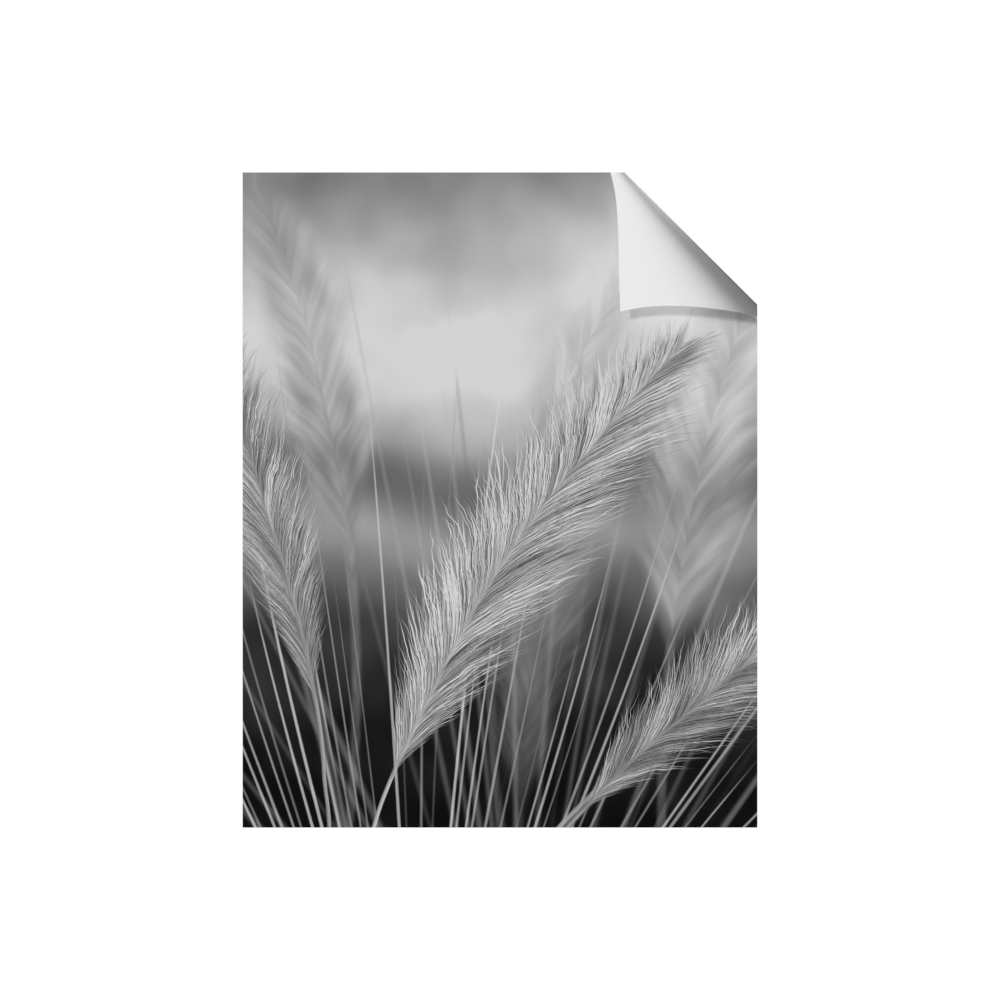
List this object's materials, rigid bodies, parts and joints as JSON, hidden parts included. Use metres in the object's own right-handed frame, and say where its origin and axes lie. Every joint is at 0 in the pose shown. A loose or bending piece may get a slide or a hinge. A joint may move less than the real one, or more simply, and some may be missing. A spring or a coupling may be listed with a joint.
{
  "type": "unframed paper print",
  "caption": "Flat portrait sheet of heavy matte paper with an edge-to-edge greyscale picture, its top right corner curled over to show the bare back.",
  "frame": {"origin": "middle of the sheet's back, on the surface that it lies on", "axes": "+X to the picture's right, +Y to the picture's top, +Z out of the printed face"},
  "size_m": [0.2794, 0.3556, 0.0166],
  "materials": {
    "paper": "matte"
  },
  "bodies": {
    "root": {"sheet": "paper"}
  },
  "joints": []
}
